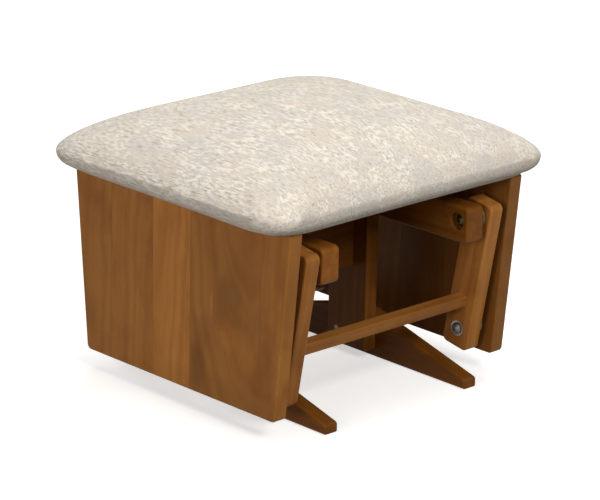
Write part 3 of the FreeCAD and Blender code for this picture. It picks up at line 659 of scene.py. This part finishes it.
@dataclass
class SeatCushion:
    """The padded seat: one piece of cloth pulled over the pad and turned under the seat board."""

    width: float = 522.4
    depth: float = 475.8
    corner_radius: float = 44.0
    widest: float = 319.5
    top: float = 394.5
    underside: float = 296.5
    roll: float = 32.0
    margin: float = 28.0
    fold_inset: float = 1.0
    fold_rise: float = 8.0
    fold_corner: float = 4.0
    crown_steps: int = 24
    roll_steps: int = 9
    corner_steps: int = 16
    side_steps: int = 24
    side_power: float = 2.4
    top_power: float = 1.4
    corner_softening: float = 0.7
    roll_fullness: float = 0.5
    side_outset: float = 3.9
    top_inset: float = 4.5
    cloth_limit: float = 4.0
    cloth_frames: int = 20
    cloth_quality: int = 5
    cloth_mass: float = 0.3
    cloth_pressure: float = 4.0
    cloth_pull: float = 30.0
    cloth_bending: float = 1.0
    held_height: float = 0.5
    voxel: float = 5.0
    pleat_depth: float = 1.1
    pleat_rate: float = 28.0
    pleat_level: float = 0.3
    pleat_growth: float = 1.4
    finish: MottledChenille = field(default_factory=lambda: MottledChenille("mottled_chenille"))

    def outline(self, half_width: float, half_depth: float, radius: float, z: float) -> list[Vector]:
        """Give the points of a level rounded rectangle, always the same number of them.

        Args:
            half_width: Half its size along X, in mm.
            half_depth: Half its size along Y, in mm.
            radius: Its corner radius in mm.
            z: Its height in mm.

        Returns:
            The points in metres, anticlockwise from the front right corner.
        """
        points = []
        fullest = 0.97 * min(half_width, half_depth)
        radius = max(min(radius, fullest), 0.5)
        for quarter, (sx, sy) in enumerate(((1, -1), (1, 1), (-1, 1), (-1, -1))):
            start = math.radians(-90 + 90 * quarter)
            for step in range(self.corner_steps + 1):
                angle = start + math.radians(90) * step / self.corner_steps
                points.append(Vector((sx * (half_width - radius) + radius * math.cos(angle),
                                      sy * (half_depth - radius) + radius * math.sin(angle), z)) * MM)
            along = half_depth if quarter % 2 == 0 else half_width
            straight = 2 * (along - radius)
            direction = Vector((-math.sin(start + math.pi / 2), math.cos(start + math.pi / 2), 0))
            corner_end = points[-1].copy()
            for step in range(1, self.side_steps):
                points.append(corner_end + direction * (straight * step / self.side_steps * MM))
        return points

    def rings(self) -> list[list[Vector]]:
        """Give the cushion's level rings from the crown down and under to the margin's edge.

        Returns:
            Lists of points in metres.
        """
        half_width = self.width / 2 + self.side_outset
        half_depth = self.depth / 2 + self.side_outset
        radius = self.corner_radius + self.side_outset
        top = self.top - self.top_inset
        inner = self.roll + self.side_outset
        rings = []
        for step in range(1, self.crown_steps + 1):
            # Even steps from the crown to halfway, then closer ones towards the sides.
            scale = math.sin(math.radians(90) * step / self.crown_steps)
            if step <= self.crown_steps / 2:
                scale = step / self.crown_steps * math.sqrt(2)
            rise = (1 - scale ** self.side_power) ** (1 / self.top_power)
            z = self.widest + (top - self.widest) * rise
            rounding = radius * scale + (1 - scale) * half_depth * self.corner_softening
            rings.append(self.outline(half_width * scale, half_depth * scale, rounding, z))
        for step in range(1, self.roll_steps + 1):
            angle = math.radians(90 / self.roll_steps * step)
            inset = inner * (1 - math.cos(angle) ** self.roll_fullness)
            z = self.widest - (self.widest - self.underside) * math.sin(angle)
            rings.append(self.outline(half_width - inset, half_depth - inset, radius - inset / 2, z))
        inner += self.margin
        for fold, rise in ((0.0, 0.0), (self.fold_inset, self.fold_rise)):
            rings.append(self.outline(half_width - inner - fold, half_depth - inner - fold,
                                      self.fold_corner, self.underside + rise))
        return rings

    def form(self) -> bpy.types.Object:
        """Build the crowned closed form before the cloth is simulated.

        Returns:
            The cushion, not yet relaxed.
        """
        shape = bmesh.new()
        rows = [[shape.verts.new(point) for point in ring] for ring in self.rings()]
        crown = shape.verts.new(Vector((0, 0, self.top - self.top_inset)) * MM)
        base = shape.verts.new(Vector((0, 0, self.underside + self.fold_rise)) * MM)
        count = len(rows[0])
        for i in range(count):
            j = (i + 1) % count
            shape.faces.new((crown, rows[0][i], rows[0][j]))
            for upper, lower in zip(rows, rows[1:]):
                shape.faces.new((upper[i], lower[i], lower[j], upper[j]))
            shape.faces.new((rows[-1][i], base, rows[-1][j]))
        bmesh.ops.recalc_face_normals(shape, faces=shape.faces)
        mesh = bpy.data.meshes.new("seat_cushion")
        shape.to_mesh(mesh)
        shape.free()
        piece = bpy.data.objects.new("seat_cushion", mesh)
        bpy.context.scene.collection.objects.link(piece)
        return piece

    def relax(self, piece: bpy.types.Object) -> None:
        """Remesh the form and let the cloth settle on it under a little pressure.

        Args:
            piece: The cushion's crowned form.
        """
        remesh = piece.modifiers.new("even_faces", "REMESH")
        remesh.mode = "VOXEL"
        remesh.voxel_size = self.voxel * MM
        self._apply(piece)
        rest = [vertex.co.copy() for vertex in piece.data.vertices]
        held = piece.vertex_groups.new(name="stapled")
        under = [i for i, co in enumerate(rest) if co.z < (self.underside + self.held_height) * MM]
        held.add(under, 1.0, "REPLACE")
        cloth = piece.modifiers.new("cloth", "CLOTH")
        cloth.settings.quality = self.cloth_quality
        cloth.settings.mass = self.cloth_mass
        cloth.settings.tension_stiffness = self.cloth_pull
        cloth.settings.compression_stiffness = self.cloth_pull
        cloth.settings.shear_stiffness = self.cloth_pull / 3
        cloth.settings.bending_stiffness = self.cloth_bending
        cloth.settings.use_pressure = True
        cloth.settings.uniform_pressure_force = self.cloth_pressure
        cloth.settings.vertex_group_mass = "stapled"
        cloth.settings.effector_weights.gravity = 0
        cloth.point_cache.frame_end = self.cloth_frames
        for number in range(1, self.cloth_frames + 1):
            bpy.context.scene.frame_set(number)
        self._apply(piece)
        bpy.context.scene.frame_set(1)
        piece.vertex_groups.clear()
        farthest = 0.0
        for vertex, start in zip(piece.data.vertices, rest):
            moved = vertex.co - start
            farthest = max(farthest, moved.length)
            if moved.length > self.cloth_limit * MM:
                vertex.co = start + moved.normalized() * self.cloth_limit * MM
        LOG.info("cloth moved up to %.1f mm", farthest / MM)

    def pleat(self, piece: bpy.types.Object) -> None:
        """Press the small pleats that gather the cloth under each corner.

        Args:
            piece: The relaxed cushion.
        """
        half_width = (self.width / 2 - self.corner_radius) * MM
        half_depth = (self.depth / 2 - self.corner_radius) * MM
        for vertex in piece.data.vertices:
            co = vertex.co
            corner = Vector((math.copysign(half_width, co.x), math.copysign(half_depth, co.y), co.z))
            away = co - corner
            if abs(co.x) < half_width or abs(co.y) < half_depth or co.z > self.widest * MM:
                continue
            angle = math.atan2(abs(away.y), abs(away.x))
            depth = (self.widest * MM - co.z) / ((self.widest - self.underside) * MM)
            fade = math.sin(2 * angle) * min(depth * self.pleat_growth, 1.0)
            ripple = math.cos(angle * self.pleat_rate) - self.pleat_level
            vertex.co = co - away.normalized() * ripple * fade * self.pleat_depth * MM

    def build(self) -> bpy.types.Object:
        """Make the whole cushion, hang it on the platform and hide the CAD cover and pad in its place.

        Returns:
            The finished cushion.
        """
        piece = self.form()
        self.relax(piece)
        self.pleat(piece)
        smooth = piece.modifiers.new("finer", "SUBSURF")
        smooth.levels = 1
        smooth.render_levels = 1
        self._apply(piece)
        piece.data.materials.clear()
        piece.data.materials.append(self.finish.build())
        piece.data.polygons.foreach_set("use_smooth", [True] * len(piece.data.polygons))
        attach(piece, "platform")
        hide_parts("cushion_cover", "foam_pad")
        LOG.info("cushion has %d faces", len(piece.data.polygons))
        return piece

    def _apply(self, piece: bpy.types.Object) -> None:
        """Make the mesh what its modifiers give, and remove them.

        Args:
            piece: The piece with the modifiers.
        """
        graph = bpy.context.evaluated_depsgraph_get()
        mesh = bpy.data.meshes.new_from_object(piece.evaluated_get(graph))
        piece.modifiers.clear()
        piece.data = mesh


@dataclass
class StapleRow:
    """The staples that hold the cover's margin to the seat board, in front and behind."""

    crown: float = 10.0
    wire: float = 1.1
    flatness: float = 0.6
    sides: int = 6
    leg: float = 1.2
    bend: float = 0.4
    shoulder: float = 0.3
    largest_turn: float = math.radians(8)
    turn_rate: float = 2.7
    spacing: float = 19.0
    edge: float = 188.0
    reach: float = 180.0
    height: float = 295.8
    finish: PlainMetal = PlainMetal("staple_wire", "#B4B6B8", "#8C8F92", 0.32, 2.0)

    def build(self) -> bpy.types.Object:
        """Make all the staples as one piece.

        Returns:
            The finished staples.
        """
        shape = bmesh.new()
        count = int(2 * self.reach / self.spacing)
        for side in (-1, 1):
            for number in range(count + 1):
                x = -self.reach + 2 * self.reach * number / count
                turn = self.largest_turn * math.sin(number * self.turn_rate + side)
                self._staple(shape, Vector((x, side * self.edge, self.height)), turn)
        mesh = bpy.data.meshes.new("cover_staples")
        shape.to_mesh(mesh)
        shape.free()
        piece = bpy.data.objects.new("cover_staples", mesh)
        bpy.context.scene.collection.objects.link(piece)
        piece.data.materials.append(self.finish.build())
        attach(piece, "platform")
        LOG.info("staples: %d", 2 * (count + 1))
        return piece

    def _staple(self, shape: bmesh.types.BMesh, place: Vector, turn: float) -> None:
        """Add one staple: a flat wire whose two ends bend up into the board.

        Args:
            shape: The mesh that collects the staples.
            place: Its middle, in mm.
            turn: How far it is turned in plan.
        """
        half = self.crown / 2
        thick = self.wire / 2
        path = [(-half, self.leg), (-half, self.shoulder), (-half + self.bend, 0.0),
                (half - self.bend, 0.0), (half, self.shoulder), (half, self.leg)]
        angles = [math.radians(360 / self.sides * n) for n in range(self.sides)]
        rotation = Matrix.Rotation(turn, 3, "Z")
        rows = []
        for along, up in path:
            middle = Vector((along, 0, up))
            ring = [Vector((0, thick * math.cos(angle), thick * self.flatness * math.sin(angle)))
                    for angle in angles]
            rows.append([shape.verts.new((place + rotation @ (middle + offset)) * MM) for offset in ring])
        for first, second in zip(rows, rows[1:]):
            for i in range(self.sides):
                j = (i + 1) % self.sides
                shape.faces.new((first[i], second[i], second[j], first[j]))
        shape.faces.new(rows[0])
        shape.faces.new(list(reversed(rows[-1])))


@dataclass(frozen=True)
class SoftLamp:
    """A lamp with a soft box: where it hangs and how wide and high it is, in metres, and its watts."""

    name: str
    place: tuple[float, float, float]
    size: tuple[float, float]
    power: float


@dataclass
class Studio:
    """A pale floor, soft lamps and the camera at the photograph's viewing angle."""

    lamps: tuple[SoftLamp, ...] = (
        SoftLamp("overhead_softbox", (0.3, 0.2, 3.0), (1.8, 1.8), 44.0),
        SoftLamp("front_softbox", (-0.4, -2.9, 2.4), (1.4, 1.2), 58.0),
        SoftLamp("left_softbox", (-3.3, -0.7, 1.05), (1.8, 1.2), 37.0),
        SoftLamp("rear_softbox", (2.9, 2.2, 1.8), (1.8, 1.4), 26.0),
    )
    lamp_aim: tuple[float, float, float] = (0.0, 0.0, 0.22)
    floor_size: float = 30.0
    floor_colour: str = "#F4F3F1"
    floor_bounce: str = "#5E5C59"
    floor_glow: float = 0.62
    surrounding: str = "#FFFFFF"
    surrounding_level: float = 0.10
    surrounding_seen: float = 1.0
    camera_place: tuple[float, float, float] = (-2.9515, -3.1040, 1.5791)
    camera_yaw: float = 0.7612
    camera_pitch: float = 0.3163
    camera_roll: float = 0.0199
    camera_lens: float = 193.2

    def build(self) -> None:
        """Set up the floor, the lamps, the world and the camera."""
        self._floor()
        for lamp in self.lamps:
            self._hang(lamp)
        self._world()
        self._camera()
        bpy.context.scene.view_settings.view_transform = "Standard"

    def _floor(self) -> None:
        """Lay the floor: pale to the eye and in gloss, a middle grey as a reflector of light."""
        half = self.floor_size / 2
        mesh = bpy.data.meshes.new("studio_floor")
        corners = [(-half, -half, 0), (half, -half, 0), (half, half, 0), (-half, half, 0)]
        mesh.from_pydata(corners, [], [(0, 1, 2, 3)])
        floor = bpy.data.objects.new("studio_floor", mesh)
        bpy.context.scene.collection.objects.link(floor)
        material = bpy.data.materials.new("matte_floor")
        material.use_nodes = True
        tree = material.node_tree
        shader = tree.nodes["Principled BSDF"]
        seen = self._seen(tree)
        colour = add_node(tree, "ShaderNodeMix", OF_COLOURS, {
            "Factor": seen, FIRST_COLOUR: linear(self.floor_bounce),
            SECOND_COLOUR: linear(self.floor_colour)}).outputs[MIXED_COLOUR]
        glow = add_node(tree, "ShaderNodeMath", MULTIPLY, {0: seen, 1: self.floor_glow}).outputs[0]
        tree.links.new(colour, shader.inputs["Base Color"])
        tree.links.new(glow, shader.inputs["Emission Strength"])
        shader.inputs["Emission Color"].default_value = linear(self.floor_colour)
        shader.inputs["Roughness"].default_value = 0.9
        mesh.materials.append(material)

    def _seen(self, tree: bpy.types.NodeTree) -> bpy.types.NodeSocket:
        """Tell a look, straight or in gloss or glass, from light that falls on the object.

        Args:
            tree: The node tree of the floor or the surrounding.

        Returns:
            1 for a look and 0 for light.
        """
        path = add_node(tree, "ShaderNodeLightPath").outputs
        seen = add_node(tree, "ShaderNodeMath", {"operation": "MAXIMUM"},
                        {0: path["Is Camera Ray"], 1: path["Is Glossy Ray"]}).outputs[0]
        return add_node(tree, "ShaderNodeMath", {"operation": "MAXIMUM"},
                        {0: seen, 1: path["Is Transmission Ray"]}).outputs[0]

    def _hang(self, lamp: SoftLamp) -> None:
        """Hang one soft lamp and aim it at the ottoman.

        Args:
            lamp: The lamp.
        """
        data = bpy.data.lights.new(lamp.name, "AREA")
        data.shape = "RECTANGLE"
        data.size, data.size_y = lamp.size
        data.energy = lamp.power
        hung = bpy.data.objects.new(lamp.name, data)
        hung.location = lamp.place
        aim = Vector(self.lamp_aim) - Vector(lamp.place)
        hung.rotation_euler = aim.to_track_quat("-Z", "Y").to_euler()
        bpy.context.scene.collection.objects.link(hung)

    def _world(self) -> None:
        """Light everything evenly and faintly from a surrounding that looks white."""
        world = bpy.data.worlds.new("pale_studio")
        world.use_nodes = True
        bpy.context.scene.world = world
        tree = world.node_tree
        level = add_node(tree, "ShaderNodeMapRange", links={
            "Value": self._seen(tree), "To Min": self.surrounding_level,
            "To Max": self.surrounding_seen}).outputs[0]
        background = tree.nodes["Background"]
        background.inputs["Color"].default_value = linear(self.surrounding)
        tree.links.new(level, background.inputs["Strength"])

    def _camera(self) -> None:
        """Place the camera where the photograph was taken from, aimed at the ottoman."""
        yaw, pitch = self.camera_yaw, self.camera_pitch
        forward = Vector((math.sin(yaw) * math.cos(pitch), math.cos(yaw) * math.cos(pitch),
                          -math.sin(pitch)))
        right = Vector((math.cos(yaw), -math.sin(yaw), 0))
        up = right.cross(forward)
        rolled_right = right * math.cos(self.camera_roll) + up * math.sin(self.camera_roll)
        rolled_up = up * math.cos(self.camera_roll) - right * math.sin(self.camera_roll)
        data = bpy.data.cameras.new("photo_camera")
        data.sensor_width = 36.0
        data.lens = self.camera_lens
        camera = bpy.data.objects.new("photo_camera", data)
        turn = Matrix((rolled_right, rolled_up, -forward)).transposed()
        camera.matrix_world = Matrix.Translation(self.camera_place) @ turn.to_4x4()
        bpy.context.scene.collection.objects.link(camera)
        bpy.context.scene.camera = camera


def main() -> None:
    """Build and dress the ottoman, then set the studio round it."""
    logging.basicConfig(level=logging.INFO)
    WoodenFrame().dress()
    Hardware().dress()
    SeatCushion().build()
    StapleRow().build()
    Studio().build()


if __name__ == "__main__":
    main()
